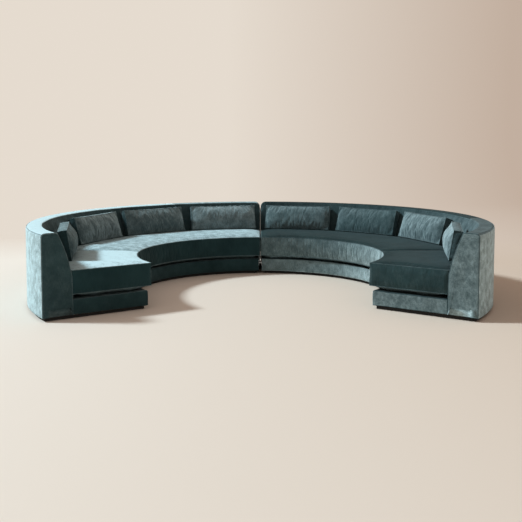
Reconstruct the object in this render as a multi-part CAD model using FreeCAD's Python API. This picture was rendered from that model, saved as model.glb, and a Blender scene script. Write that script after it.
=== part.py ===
import FreeCAD, Part
import math
import os

# A curved sectional sofa: two mirror-image sections that meet at the middle of the back.
# Millimetres, +Z up, +Y towards the back. The origin is on the floor, below the middle of the whole.
# Angles are degrees from the middle of the back, round the centre of the curve.

# Plan of the curve
outer_radius = 2204.0
outer_batter = 14.0
wrap_angle = 125.0
base_front_radius = 1225.0
back_foot_thickness = 269.0
back_top_thickness = 148.0
cushion_seam_angle = 88.5

# Heights above the floor
back_height = 740.0
fabric_bottom = 32.0
base_top = 170.0
lower_seam_height = 212.0
upper_seam_height = 416.0
slant_start_height = 370.0

# Gaps where the two sections meet
back_joint_gap = 14.0
base_joint_gap = 34.0
cushion_joint_gap = 18.0

# Shape of the back
outer_edge_round = 28.0
inner_edge_round = 16.0
back_face_bulge = 14.0
joint_corner_round = 60.0

# Upholstery layers
cover_thickness = 3.0
back_foam_thickness = 45.0
back_foam_gores = 24
top_pad_thickness = 12.0
edge_roll_depth = 75.0
deck_pad_thickness = 10.0
dust_cover_thickness = 2.0
webbing_thickness = 2.0
webbing_width = 60.0
webbing_bands = 4
base_border_width = 110.0
bottom_flange_width = 60.0
base_edge_round = 12.0
soft_clearance = 0.5

# Timber frame
board_thickness = 20.0
back_panel_thickness = 4.0
back_panel_lengths = 4
cross_rail_height = 70.0
bay_count = 6
plinth_inset = 27.0
plinth_board = 22.0
glue_line = 0.3

# Seat springs
spring_count = 12
spring_wire = 3.6
spring_pitch = 24.0
spring_half_leg = 13.0
spring_drop = 5.0
clip_length = 16.0
clip_width = 18.0
clip_depth = 10.0
wire_clearance = 0.4

# Hardware
glide_diameter = 18.0
glide_height = 3.0
glides_per_board = 7
bolt_diameter = 8.0
bolt_head_diameter = 18.0
bolt_head_height = 4.0
bolt_clearance = 0.3
bracket_thickness = 3.0
bracket_width = 60.0
bracket_height = 70.0
tongue_width = 36.0
tongue_thickness = 5.0
tongue_clearance = 0.5
bracket_front_inset = 175.0
bracket_rear_inset = 155.0

# Seat cushions
cushion_overhang = 38.0
cushion_back_gap = 4.0
cushion_side_gap = 6.0
cushion_top_crown = 24.0
cushion_front_bulge = 7.0
cushion_rear_bulge = 2.0
cushion_crown_run = 230.0
cushion_station_step = 240.0
core_clearance = 1.0
crown_stations = (0.0, 0.05, 0.16, 0.36, 0.64, 1.0)
end_crown_share = 0.12
least_crown = 1.0

# Back pillows
pillow_width = 770.0
pillow_height = 280.0
pillow_edge_thickness = 82.0
pillow_front_crown = 32.0
pillow_rear_crown = 18.0
pillow_edge_bulge = 7.0
pillow_edge_draw = 7.0
pillow_crown_run = 210.0
pillow_rest_gap = 3.0
pillow_back_gap = 4.0
pillow_angles = {"inner": 13.4, "middle": 40.2, "outer": 67.0, "arm": 101.5}
arm_pillow_lean = 8.0
arm_pillow_stand_off = 30.0

# Sizes that follow from the ones above
back_foot_radius = outer_radius - back_foot_thickness
wall_top_radius = outer_radius - outer_batter
back_top_radius = wall_top_radius - back_top_thickness
frame_bottom = fabric_bottom + cover_thickness
rail_top = base_top - cover_thickness - deck_pad_thickness
base_joint_inset = (base_joint_gap - back_joint_gap) / 2
rib_foot_radius = back_foot_radius + cover_thickness + back_foam_thickness + webbing_thickness
rib_top_radius = back_top_radius + cover_thickness + back_foam_thickness + webbing_thickness
panel_top = back_height - edge_roll_depth
roll_radius = wall_top_radius - outer_edge_round
top_rail_top = back_height - cover_thickness - top_pad_thickness
foot_rail_radius = back_foot_radius + cover_thickness
bracket_radii = (base_front_radius + bracket_front_inset, back_foot_radius - bracket_rear_inset)
centre_y = -outer_radius * (1 + math.cos(math.radians(wrap_angle))) / 2

UP = FreeCAD.Vector(0, 0, 1)
ORIGIN = FreeCAD.Vector(0, 0, 0)
SPARE = 60.0
SPARE_ANGLE = 5.0


# Points and directions round the curve
def outward(angle):
    return FreeCAD.Vector(math.sin(math.radians(angle)), math.cos(math.radians(angle)), 0)


def onward(angle):
    return FreeCAD.Vector(math.cos(math.radians(angle)), -math.sin(math.radians(angle)), 0)


def degrees_for(length, radius):
    return math.degrees(length / radius)


# A closed outline from (radius, height) steps: one point is a straight line, two are an arc through the first
def outline(start, steps):
    edges = []
    here = FreeCAD.Vector(start[0], 0, start[1])
    first = here
    for step in steps:
        points = [FreeCAD.Vector(radius, 0, height) for radius, height in step]
        if len(points) == 1:
            edges.append(Part.LineSegment(here, points[0]).toShape())
        else:
            edges.append(Part.Arc(here, points[0], points[1]).toShape())
        here = points[-1]
    edges.append(Part.LineSegment(here, first).toShape())
    return Part.Wire(edges)


def rectangle(low_radius, high_radius, low_height, high_height):
    corners = [[(high_radius, low_height)], [(high_radius, high_height)], [(low_radius, high_height)]]
    return outline((low_radius, low_height), corners)


# The part of the plan between a plane this far inside the joint and one this far inside the free end
def between_ends(joint_inset, end_inset):
    slant = math.radians(wrap_angle)
    apex_y = (end_inset + joint_inset * math.cos(slant)) / math.sin(slant)
    apex = FreeCAD.Vector(joint_inset, apex_y, -SPARE)
    reach = 3 * outer_radius
    corners = [apex, apex + outward(0) * reach]
    corners.append(apex + outward(wrap_angle / 2) * reach)
    corners.append(apex + outward(wrap_angle) * reach)
    corners.append(apex)
    return Part.Face(Part.makePolygon(corners)).extrude(UP * (back_height + 3 * SPARE))


# A profile swept round the curve and trimmed at both ends
def ring(profile, joint_inset=0.0, end_inset=0.0):
    swept = Part.Face(profile).revolve(ORIGIN, UP, -(wrap_angle + 2 * SPARE_ANGLE))
    swept.rotate(ORIGIN, UP, 90 + SPARE_ANGLE)
    return swept.common(between_ends(joint_inset, end_inset))


# A swept shape cut on evenly spaced radial planes
def lengths_of(shape, count):
    reach = 3 * outer_radius
    marks = [wrap_angle * number / count for number in range(count + 1)]
    marks[0] -= SPARE_ANGLE
    marks[-1] += SPARE_ANGLE
    pieces = []
    for low, high in zip(marks, marks[1:]):
        corners = [ORIGIN, outward(low) * reach, outward(high) * reach, ORIGIN]
        wedge = Part.Face(Part.makePolygon(corners)).extrude(UP * (back_height + SPARE))
        pieces.append(shape.common(wedge))
    return pieces


# Turns a shape made along +X to lie outward at an angle
def turned(shape, angle):
    placed = shape.copy()
    placed.rotate(ORIGIN, UP, 90 - angle)
    return placed


# A flat board on a radial plane, its thickness running onward from the plane
def radial_board(profile, thickness, angle, offset):
    board = Part.Face(profile).extrude(FreeCAD.Vector(0, -thickness, 0))
    board = turned(board, angle)
    board.translate(onward(angle) * offset)
    return board


# Radius of the leaning outer wall at a height, or of a layer that far inside it
def wall_radius(height, inside=0.0):
    rise = back_height - outer_edge_round - fabric_bottom
    slope = outer_batter / rise
    return outer_radius - slope * (height - fabric_bottom) - inside * math.hypot(1, slope)


# How far a flat piece of this width stands off a curved face that bends round it
def flat_stand_off(radius, width):
    return radius - math.sqrt(radius ** 2 - (width / 2) ** 2)


# A point half way round a rounded corner whose sides would meet at this radius and height
def round_middle(radius, height, size, side):
    share = 1 - math.sqrt(0.5)
    return (radius + side * size * share, height - size * share)


# Closed outer profile of the back, pulled in by a margin
def back_profile(margin=0.0):
    middle_radius = (back_foot_radius + back_top_radius) / 2 - back_face_bulge
    middle_height = (slant_start_height + back_height) / 2
    steps = [
        [(wall_top_radius, back_height - outer_edge_round)],
        [
            round_middle(wall_top_radius, back_height, outer_edge_round, -1),
            (roll_radius, back_height),
        ],
        [(back_top_radius + inner_edge_round, back_height)],
        [
            round_middle(back_top_radius, back_height, inner_edge_round, 1),
            (back_top_radius, back_height - inner_edge_round),
        ],
        [(middle_radius, middle_height), (back_foot_radius, slant_start_height)],
        [(back_foot_radius, fabric_bottom)],
    ]
    profile = outline((outer_radius, fabric_bottom), steps)
    if margin:
        profile = profile.makeOffset2D(-margin)
    return profile


# What the rounded top corner at the joint takes away from a layer this far inside the cover
def joint_corner(margin):
    reach = 2 * outer_radius
    size = joint_corner_round
    block = Part.makeBox(size + SPARE, reach, size + SPARE)
    block.translate(FreeCAD.Vector(-SPARE, 0, back_height - size))
    axis_start = FreeCAD.Vector(size, 0, back_height - size)
    drum = Part.makeCylinder(size - margin, reach, axis_start, FreeCAD.Vector(0, 1, 0))
    return block.cut(drum)


# Back: cover, foam, panel, webbing, ribs and rails
def back_cover():
    outside = ring(back_profile()).cut(joint_corner(0))
    inside = ring(back_profile(cover_thickness), cover_thickness, cover_thickness)
    inside = inside.cut(joint_corner(cover_thickness))
    opening = ring(
        rectangle(
            back_foot_radius - SPARE,
            outer_radius - bottom_flange_width,
            fabric_bottom - SPARE,
            frame_bottom + soft_clearance,
        ),
        bottom_flange_width,
        bottom_flange_width,
    )
    return outside.cut(inside).cut(opening)


def frame_region():
    steps = [
        [(rib_foot_radius - webbing_thickness, slant_start_height)],
        [(rib_top_radius - webbing_thickness, top_rail_top)],
        [(roll_radius, top_rail_top)],
        [(roll_radius, panel_top)],
        [(outer_radius + SPARE, panel_top)],
        [(outer_radius + SPARE, fabric_bottom - SPARE)],
    ]
    return outline((rib_foot_radius - webbing_thickness, fabric_bottom - SPARE), steps)


def back_foam():
    slab = ring(back_profile(cover_thickness), cover_thickness, cover_thickness)
    below = ring(rectangle(foot_rail_radius - SPARE, outer_radius, fabric_bottom - SPARE, base_top))
    foam = slab.cut(joint_corner(cover_thickness)).cut(ring(frame_region())).cut(below)
    return lengths_of(foam, back_foam_gores)


def panel_outer(height):
    return wall_radius(height, cover_thickness + glue_line)


def rib_outer(height):
    return wall_radius(height, cover_thickness + glue_line + back_panel_thickness)


def back_panel():
    steps = [
        [(panel_outer(frame_bottom), frame_bottom)],
        [(panel_outer(panel_top), panel_top)],
        [(rib_outer(panel_top), panel_top)],
    ]
    profile = outline((rib_outer(frame_bottom), frame_bottom), steps)
    return lengths_of(ring(profile, cover_thickness, cover_thickness), back_panel_lengths)


def back_webbing():
    rise = top_rail_top - board_thickness - slant_start_height
    lean = (rib_top_radius - rib_foot_radius) / (top_rail_top - slant_start_height)
    room = rise - webbing_bands * webbing_width
    on_end_rib = cover_thickness + board_thickness / 2
    bands = []
    for number in range(webbing_bands):
        low = slant_start_height + room * (number + 0.5) / webbing_bands + webbing_width * number
        high = low + webbing_width
        low_radius = rib_foot_radius + lean * (low - slant_start_height)
        high_radius = rib_foot_radius + lean * (high - slant_start_height)
        steps = [
            [(high_radius, high)],
            [(high_radius - webbing_thickness, high)],
            [(low_radius - webbing_thickness, low)],
        ]
        bands.append(ring(outline((low_radius, low), steps), on_end_rib, on_end_rib))
    return bands


def rib_angles():
    spaces = 2 * bay_count
    return [wrap_angle * number / spaces for number in range(1, spaces)]


# A plywood rib: a step at the foot rail, a slanted front, and notches for the rails and the edge roll
def rib_profile():
    lean = (rib_top_radius - rib_foot_radius) / (top_rail_top - slant_start_height)
    under_rail = top_rail_top - board_thickness
    head_radius = rib_top_radius - lean * board_thickness
    rail_head = frame_bottom + cross_rail_height
    steps = [
        [(foot_rail_radius + board_thickness, base_top)],
        [(rib_foot_radius, base_top)],
        [(rib_foot_radius, slant_start_height)],
        [(head_radius, under_rail)],
        [(roll_radius, under_rail)],
        [(roll_radius, panel_top)],
        [(rib_outer(panel_top), panel_top)],
        [(rib_outer(rail_head), rail_head)],
        [(rib_outer(rail_head) - board_thickness, rail_head)],
        [(rib_outer(rail_head) - board_thickness, frame_bottom)],
    ]
    return outline((foot_rail_radius + board_thickness, frame_bottom), steps)


def back_ribs():
    curve = ring(rib_profile())
    blank = rectangle(back_foot_radius, outer_radius, fabric_bottom, back_height)
    joint_rib = radial_board(blank, board_thickness, 0, cover_thickness)
    ribs = [joint_rib.cut(joint_corner(cover_thickness))]
    for angle in rib_angles():
        ribs.append(radial_board(blank, board_thickness, angle, -board_thickness / 2))
    ribs.append(radial_board(blank, board_thickness, wrap_angle, -cover_thickness - board_thickness))
    return [rib.common(curve) for rib in ribs]


def back_bottom_rails():
    foot = ring(
        rectangle(foot_rail_radius, foot_rail_radius + board_thickness, frame_bottom, base_top),
        cover_thickness,
        cover_thickness,
    )
    for hole in bolt_bodies(bolt_clearance):
        foot = foot.cut(hole)
    rail_head = frame_bottom + cross_rail_height
    rear = ring(
        rectangle(rib_outer(rail_head) - board_thickness, rib_outer(rail_head), frame_bottom, rail_head),
        cover_thickness,
        cover_thickness,
    )
    return [foot, rear]


def back_top_rail():
    lean = (rib_top_radius - rib_foot_radius) / (top_rail_top - slant_start_height)
    steps = [
        [(roll_radius, top_rail_top)],
        [(roll_radius, top_rail_top - board_thickness)],
        [(rib_top_radius - lean * board_thickness, top_rail_top - board_thickness)],
    ]
    return ring(outline((rib_top_radius, top_rail_top), steps), joint_corner_round, cover_thickness)


# Seat base: cover, deck pad, rails, springs and dust cover
def base_profile(margin, rear):
    front = base_front_radius + margin
    top = base_top - margin
    rounded = base_edge_round - margin
    steps = [
        [(front, top - rounded)],
        [round_middle(front, top, rounded, 1), (front + rounded, top)],
        [(rear, top)],
        [(rear, fabric_bottom + margin)],
    ]
    return outline((front, fabric_bottom + margin), steps)


def base_cover():
    rear = back_foot_radius - soft_clearance
    skin = cover_thickness
    outside = ring(base_profile(0, rear), base_joint_inset, 0)
    inside = ring(base_profile(skin, rear + SPARE), base_joint_inset + skin, skin)
    deck = ring(
        rectangle(base_front_radius + base_border_width, rear + SPARE, rail_top, base_top + SPARE),
        base_joint_inset + base_border_width,
        base_border_width,
    )
    underside = ring(
        rectangle(base_front_radius + bottom_flange_width, rear + SPARE, 0, frame_bottom + skin),
        base_joint_inset + bottom_flange_width,
        bottom_flange_width,
    )
    return outside.cut(inside).cut(deck).cut(underside)


def inside_base(low_radius, high_radius, low_height, high_height):
    return ring(
        rectangle(low_radius, high_radius, low_height, high_height),
        base_joint_inset + cover_thickness,
        cover_thickness,
    )


def deck_pad():
    front = base_front_radius + max(cover_thickness, base_edge_round)
    rear = back_foot_radius - soft_clearance
    return inside_base(front, rear, rail_top, base_top - cover_thickness)


def front_rail_edge():
    return base_front_radius + cover_thickness + board_thickness


def rear_rail_edge():
    return back_foot_radius - soft_clearance - board_thickness


def base_rails():
    front = inside_base(front_rail_edge() - board_thickness, front_rail_edge(), frame_bottom, rail_top)
    rear = inside_base(rear_rail_edge(), rear_rail_edge() + board_thickness, frame_bottom, rail_top)
    for hole in bolt_bodies(bolt_clearance):
        rear = rear.cut(hole)
    return [front, rear]


def base_cross_rails():
    low = rectangle(front_rail_edge(), rear_rail_edge(), frame_bottom, frame_bottom + cross_rail_height)
    full = rectangle(front_rail_edge(), rear_rail_edge(), frame_bottom, rail_top)
    rails = [radial_board(full, board_thickness, 0, base_joint_inset + cover_thickness)]
    for number in range(1, bay_count):
        angle = wrap_angle * number / bay_count
        rails.append(radial_board(low, board_thickness, angle, -board_thickness / 2))
    rails.append(radial_board(full, board_thickness, wrap_angle, -cover_thickness - board_thickness))
    return [rail.common(ring_space()) for rail in rails]


# The space between the two base rails, which the cross rails fit with their ends cut to the curve
def ring_space():
    return ring(rectangle(front_rail_edge(), rear_rail_edge(), frame_bottom, rail_top))


def dust_cover():
    return ring(
        rectangle(
            base_front_radius + bottom_flange_width + soft_clearance,
            outer_radius - bottom_flange_width - soft_clearance,
            frame_bottom - dust_cover_thickness,
            frame_bottom,
        ),
        base_joint_inset + bottom_flange_width + soft_clearance,
        bottom_flange_width + soft_clearance,
    )


def spring_angles():
    return [wrap_angle * (number + 0.5) / spring_count for number in range(spring_count)]


def clip_reach():
    rear = rear_rail_edge() - flat_stand_off(rear_rail_edge(), clip_width)
    return front_rail_edge() + clip_length / 2, rear - clip_length / 2


def wire_height():
    return rail_top - spring_drop


# A flat zigzag of spring wire between the clips on the front and rear rails
def seat_spring():
    start, end = clip_reach()
    bends = round((end - start) / spring_pitch)
    pitch = (end - start) / bends
    half = spring_half_leg
    side = 1
    edges = []
    for number in range(bends + 1):
        x = start + number * pitch
        edges.append(
            Part.LineSegment(
                FreeCAD.Vector(x, -side * half, wire_height()),
                FreeCAD.Vector(x, side * half, wire_height()),
            ).toShape()
        )
        if number < bends:
            edges.append(
                Part.Arc(
                    FreeCAD.Vector(x, side * half, wire_height()),
                    FreeCAD.Vector(x + pitch / 2, side * (half + pitch / 2), wire_height()),
                    FreeCAD.Vector(x + pitch, side * half, wire_height()),
                ).toShape()
            )
        side = -side
    section = Part.Circle(edges[0].Vertexes[0].Point, FreeCAD.Vector(0, 1, 0), spring_wire / 2)
    return Part.Wire(edges).makePipeShell([Part.Wire([section.toShape()])], True, False)


def seat_springs():
    spring = seat_spring()
    return [turned(spring, angle) for angle in spring_angles()]


def spring_clips():
    clips = []
    for reach in clip_reach():
        clip = Part.makeBox(clip_length, clip_width, clip_depth)
        clip.translate(FreeCAD.Vector(reach - clip_length / 2, -clip_width / 2, rail_top - clip_depth))
        bore_start = FreeCAD.Vector(reach, -clip_width, wire_height())
        bore = Part.makeCylinder(
            spring_wire / 2 + wire_clearance,
            2 * clip_width,
            bore_start,
            FreeCAD.Vector(0, 1, 0),
        )
        clips.append(clip.cut(bore))
    return [turned(clip, angle) for angle in spring_angles() for clip in clips]


# Plinth, glides, bolts and the brackets that hold the sections together
def plinth():
    front = base_front_radius + plinth_inset
    rear = outer_radius - plinth_inset
    joint = base_joint_inset + plinth_inset
    front_strip = rectangle(front, front + plinth_board, glide_height, fabric_bottom)
    rear_strip = rectangle(rear - plinth_board, rear, glide_height, fabric_bottom)
    front_board = ring(front_strip, joint, plinth_inset)
    rear_board = ring(rear_strip, joint, plinth_inset)
    space_front = front + plinth_board + glue_line
    space_rear = rear - plinth_board - glue_line
    space = ring(rectangle(space_front, space_rear, glide_height, fabric_bottom))
    across = rectangle(front, rear, glide_height, fabric_bottom)
    joint_board = radial_board(across, plinth_board, 0, joint).common(space)
    end_board = radial_board(across, plinth_board, wrap_angle, -plinth_inset - plinth_board).common(space)
    return [front_board, rear_board, joint_board, end_board]


def glides():
    board_middles = (
        base_front_radius + plinth_inset + plinth_board / 2,
        outer_radius - plinth_inset - plinth_board / 2,
    )
    pads = []
    for radius in board_middles:
        first = degrees_for(base_joint_inset + plinth_inset + glide_diameter, radius)
        last = wrap_angle - degrees_for(plinth_inset + glide_diameter, radius)
        for number in range(glides_per_board):
            angle = first + (last - first) * number / (glides_per_board - 1)
            pads.append(Part.makeCylinder(glide_diameter / 2, glide_height, outward(angle) * radius))
    return pads


def bolt_angles():
    spaces = 2 * bay_count
    return [wrap_angle * (number + 0.5) / spaces for number in range(0, spaces, 2)]


# Radial bolts from the base's rear rail through the back's foot rail
def bolt_start():
    return rear_rail_edge() - flat_stand_off(rear_rail_edge(), bolt_head_diameter)


def bolt_bodies(clearance=0.0):
    length = foot_rail_radius + board_thickness - bolt_start()
    middle = (frame_bottom + rail_top) / 2
    bodies = []
    for angle in bolt_angles():
        start = outward(angle) * bolt_start() + UP * middle
        bodies.append(Part.makeCylinder(bolt_diameter / 2 + clearance, length, start, outward(angle)))
    return bodies


def frame_bolts():
    bolts = []
    middle = (frame_bottom + rail_top) / 2
    for angle, shank in zip(bolt_angles(), bolt_bodies()):
        start = outward(angle) * (bolt_start() - bolt_head_height) + UP * middle
        head = Part.makeCylinder(bolt_head_diameter / 2, bolt_head_height, start, outward(angle))
        bolts.append(head.fuse(shank).removeSplitter())
    return bolts


def bracket_box(low_x, high_x, radius, width, height):
    box = Part.makeBox(high_x - low_x, width, height)
    middle = (fabric_bottom + base_top) / 2
    box.translate(FreeCAD.Vector(low_x, radius - width / 2, middle - height / 2))
    return box


def joint_tongues():
    face = base_joint_gap / 2
    tongues = []
    for radius in bracket_radii:
        plate = bracket_box(face - bracket_thickness, face, radius, bracket_width, bracket_height)
        tip = -face + bracket_thickness + tongue_clearance
        blade = bracket_box(tip, face - bracket_thickness / 2, radius, tongue_width, tongue_thickness)
        tongues.append(plate.fuse(blade).removeSplitter())
    return tongues


def joint_sockets():
    face = base_joint_gap / 2
    mouth = face - bracket_thickness - tongue_clearance
    space_width = tongue_width + 2 * tongue_clearance
    space_height = tongue_thickness + 2 * tongue_clearance
    wall = 2 * bracket_thickness
    sockets = []
    for radius in bracket_radii:
        plate = bracket_box(-face, bracket_thickness - face, radius, bracket_width, bracket_height)
        sleeve = bracket_box(-face, mouth, radius, space_width + wall, space_height + wall)
        space = bracket_box(bracket_thickness - face, face, radius, space_width, space_height)
        sockets.append(plate.fuse(sleeve).cut(space).removeSplitter())
    return sockets


# Cushions and pillows: lofts through four-sided sections whose sides are arcs
def bulged_section(corners, bulges):
    middle = sum(corners, FreeCAD.Vector()) * (1 / len(corners))
    edges = []
    for number, bulge in enumerate(bulges):
        here = corners[number]
        there = corners[(number + 1) % len(corners)]
        along = (there - here).normalize()
        out = (here + there) * 0.5 - middle
        out = (out - along * out.dot(along)).normalize()
        edges.append(Part.Arc(here, (here + there) * 0.5 + out * bulge, there).toShape())
    return Part.Wire(edges)


# Where sections stand along a cushion, measured from one end, close together where the crown rises
def stations(length, run, step):
    near_end = [run * share for share in crown_stations]
    inner = length - 2 * run
    count = max(1, math.ceil(inner / step))
    between = [run + inner * number / count for number in range(1, count)]
    return near_end + between + [length - place for place in reversed(near_end)]


# Share of the full crown at a place along a cushion: a quarter ellipse up from the sewn edge
def crown_share(place, length, run):
    inward = min(place, length - place, run) / run
    return end_crown_share + (1 - end_crown_share) * math.sqrt(max(0.0, 1 - (1 - inward) ** 2))


def seat_cushion(start_angle, end_angle, margin=0.0):
    front = base_front_radius - cushion_overhang
    rear = back_foot_radius - cushion_back_gap
    middle = (front + rear) / 2
    bottom_crown = lower_seam_height - base_top - soft_clearance
    start = start_angle + degrees_for(margin, middle)
    length = math.radians(end_angle - start_angle) * middle - 2 * margin
    sections = []
    for place in stations(length, cushion_crown_run, cushion_station_step):
        share = crown_share(place, length, cushion_crown_run)
        facing = outward(start + degrees_for(place, middle))
        corners = [
            facing * (front + margin) + UP * (lower_seam_height + margin / 2),
            facing * (front + margin) + UP * (upper_seam_height - margin / 2),
            facing * (rear - margin) + UP * (upper_seam_height - margin / 2),
            facing * (rear - margin) + UP * (lower_seam_height + margin / 2),
        ]
        bulges = [
            cushion_front_bulge,
            max(least_crown, cushion_top_crown * share - margin / 2),
            cushion_rear_bulge,
            max(least_crown, bottom_crown * share - margin / 2),
        ]
        sections.append(bulged_section(corners, bulges))
    return Part.makeLoft(sections, True, False)


def seat_crown_height(radius):
    front = base_front_radius - cushion_overhang
    rear = back_foot_radius - cushion_back_gap
    off_middle = (2 * radius - front - rear) / (rear - front)
    return upper_seam_height + cushion_top_crown * (1 - off_middle ** 2)


def back_lean():
    return math.degrees(math.atan2(back_top_radius - back_foot_radius, back_height - slant_start_height))


# Where the rear lower edge of a straight pillow stands, so that its two ends just clear the curved back
def pillow_foot(stand_off):
    rise = upper_seam_height - slant_start_height
    face_radius = back_foot_radius + math.tan(math.radians(back_lean())) * rise
    face_radius -= back_face_bulge + pillow_back_gap
    radius = math.sqrt(face_radius ** 2 - (pillow_width / 2) ** 2) - stand_off
    return FreeCAD.Vector(radius, 0, seat_crown_height(radius) + pillow_rest_gap)


# A box-edged back pillow that stands on the seat cushion and leans towards the back
def back_pillow(middle_angle, lean, stand_off, margin=0.0):
    rise = FreeCAD.Vector(math.sin(math.radians(lean)), 0, math.cos(math.radians(lean)))
    forward = FreeCAD.Vector(-rise.z, 0, rise.x)
    foot = pillow_foot(stand_off)
    length = pillow_width - 2 * margin
    sections = []
    for place in stations(length, pillow_crown_run, pillow_width):
        share = crown_share(place, length, pillow_crown_run)
        draw = pillow_edge_draw * share
        low_rear = foot + rise * (margin + draw / 2) + forward * (margin / 2)
        high_rear = foot + rise * (pillow_height - margin - draw) + forward * (margin / 2)
        across = forward * (pillow_edge_thickness - margin)
        corners = [low_rear, high_rear, high_rear + across, low_rear + across]
        bulges = [
            max(least_crown, pillow_rear_crown * share - margin / 2),
            pillow_edge_bulge,
            max(least_crown, pillow_front_crown * share - margin / 2),
            pillow_edge_bulge,
        ]
        section = bulged_section(corners, bulges)
        section.translate(FreeCAD.Vector(0, length / 2 - place, 0))
        sections.append(turned(section, middle_angle))
    return Part.makeLoft(sections, True, False)


# A padded piece as its sewn cover and the filling inside it
def cover_and_filling(shape_at):
    cover = shape_at(0.0).cut(shape_at(cover_thickness))
    return cover, shape_at(cover_thickness + core_clearance)


def cushion_angles():
    middle = (base_front_radius - cushion_overhang + back_foot_radius - cushion_back_gap) / 2
    start = degrees_for((cushion_joint_gap - back_joint_gap) / 2, base_front_radius - cushion_overhang)
    half_gap = degrees_for(cushion_side_gap / 2, middle)
    end = wrap_angle - degrees_for(soft_clearance, middle)
    return {
        "long_cushion": (start, cushion_seam_angle - half_gap),
        "end_cushion": (cushion_seam_angle + half_gap, end),
    }


def section_pieces():
    pieces = {
        "plinth": plinth(),
        "glides": glides(),
        "base_rails": base_rails(),
        "base_cross_rails": base_cross_rails(),
        "seat_springs": seat_springs(),
        "spring_clips": spring_clips(),
        "deck_pad": [deck_pad()],
        "base_cover": [base_cover()],
        "dust_cover": [dust_cover()],
        "frame_bolts": frame_bolts(),
        "back_ribs": back_ribs(),
        "back_bottom_rails": back_bottom_rails(),
        "back_top_rail": [back_top_rail()],
        "back_panel": back_panel(),
        "back_webbing": back_webbing(),
        "back_foam": back_foam(),
        "back_cover": [back_cover().cut(Part.makeCompound(bolt_bodies(bolt_clearance)))],
    }
    for name, (start, end) in cushion_angles().items():
        cover, core = cover_and_filling(lambda margin: seat_cushion(start, end, margin))
        pieces[name + "_cover"] = [cover]
        pieces[name + "_core"] = [core]
    for name, angle in pillow_angles.items():
        lean = arm_pillow_lean if name == "arm" else back_lean()
        stand_off = arm_pillow_stand_off if name == "arm" else 0.0
        cover, filling = cover_and_filling(lambda margin: back_pillow(angle, lean, stand_off, margin))
        pieces[name + "_pillow_cover"] = [cover]
        pieces[name + "_pillow_filling"] = [filling]
    return pieces


def save(name, shapes):
    solids = [solid for shape in shapes for solid in shape.Solids]
    body = Part.makeCompound(solids) if len(solids) > 1 else solids[0]
    body.exportStep("parts/" + name + ".step")


def main():
    os.makedirs("parts", exist_ok=True)
    to_origin = FreeCAD.Vector(0, centre_y, 0)
    beside_joint = FreeCAD.Vector(back_joint_gap / 2, 0, 0)
    for name, shapes in section_pieces().items():
        for shape in shapes:
            shape.translate(to_origin + beside_joint)
        save("right_" + name, shapes)
        save("left_" + name, [shape.mirror(ORIGIN, FreeCAD.Vector(1, 0, 0)) for shape in shapes])
    for name, shapes in (("right_joint_tongues", joint_tongues()), ("left_joint_sockets", joint_sockets())):
        for shape in shapes:
            shape.translate(to_origin)
        save(name, shapes)


main()
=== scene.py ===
import math

import bmesh
import bpy
import numpy as np
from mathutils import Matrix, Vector, noise


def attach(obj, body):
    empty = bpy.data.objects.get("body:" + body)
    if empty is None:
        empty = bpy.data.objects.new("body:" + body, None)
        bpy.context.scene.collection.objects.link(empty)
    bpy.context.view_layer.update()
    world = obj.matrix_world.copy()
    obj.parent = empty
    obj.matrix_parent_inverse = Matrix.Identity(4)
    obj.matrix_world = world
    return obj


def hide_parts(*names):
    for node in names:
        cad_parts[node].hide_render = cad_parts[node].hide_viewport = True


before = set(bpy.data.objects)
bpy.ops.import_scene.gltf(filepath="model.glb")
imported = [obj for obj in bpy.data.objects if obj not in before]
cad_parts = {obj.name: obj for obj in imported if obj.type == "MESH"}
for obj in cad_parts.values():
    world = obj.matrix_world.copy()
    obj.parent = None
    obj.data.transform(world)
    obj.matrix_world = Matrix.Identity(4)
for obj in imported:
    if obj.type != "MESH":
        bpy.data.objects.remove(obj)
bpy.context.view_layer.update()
scene = bpy.context.scene

# Plan and heights of the sofa, in metres and degrees, after the CAD part
CENTRE_Y = -0.46992
HALF_GAP = 0.007
WRAP = 125.0
OUTER_RADIUS = 2.204
WALL_TOP_RADIUS = 2.190
BACK_FOOT_RADIUS = 1.935
BACK_TOP_RADIUS = 2.042
TOP_WIDTH = WALL_TOP_RADIUS - BACK_TOP_RADIUS
BASE_FRONT_RADIUS = 1.225
BACK_HEIGHT = 0.740
FABRIC_BOTTOM = 0.032
BASE_TOP = 0.170
LOWER_SEAM = 0.212
UPPER_SEAM = 0.416
SLANT_START = 0.370
SLANT_ANGLE = 16.13
OUTER_ROUND = 0.028
INNER_ROUND = 0.016
FACE_BULGE = 0.014
JOINT_ROUND = 0.060
BASE_JOINT_INSET = 0.010
BASE_ROUND = 0.012
BASE_REAR = BACK_FOOT_RADIUS - 0.0005
BORDER_WIDTH = 0.110
FLANGE_WIDTH = 0.060
RECESS = 0.0025
DUST_RADII = (1.2855, 2.1435)
DUST_HEIGHT = 0.034
DUST_MARGIN = 0.4
CUSHION_FRONT = 1.187
CUSHION_REAR = 1.931
CUSHION_SEAM_ANGLE = 88.5
PANEL_SEAMS = (29.3, 58.7, 88.0)

PILLOWS = {"inner": 13.4, "middle": 40.2, "outer": 67.0, "arm": 101.5}
PILLOW_WIDTH = 0.770
PILLOW_HEIGHT = 0.280
PILLOW_DEPTH = 0.082
PILLOW_CELL = 0.008

UP = Vector((0, 0, 1))
SIDES = {"left": -1, "right": 1}


# Points and directions round the curve; side is 1 on the right and -1 on the left
def outward(side, angle):
    turn = math.radians(angle)
    return Vector((side * math.sin(turn), math.cos(turn), 0))


def onward(side, angle):
    turn = math.radians(angle)
    return Vector((side * math.cos(turn), -math.sin(turn), 0))


def place(side, angle, radius, height):
    return Vector((side * HALF_GAP, CENTRE_Y, height)) + outward(side, angle) * radius


def smooth(value):
    value = max(0.0, min(1.0, value))
    return value * value * (3 - 2 * value)


def spread(low, high, count):
    return [low + (high - low) * number / count for number in range(count + 1)]


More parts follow.
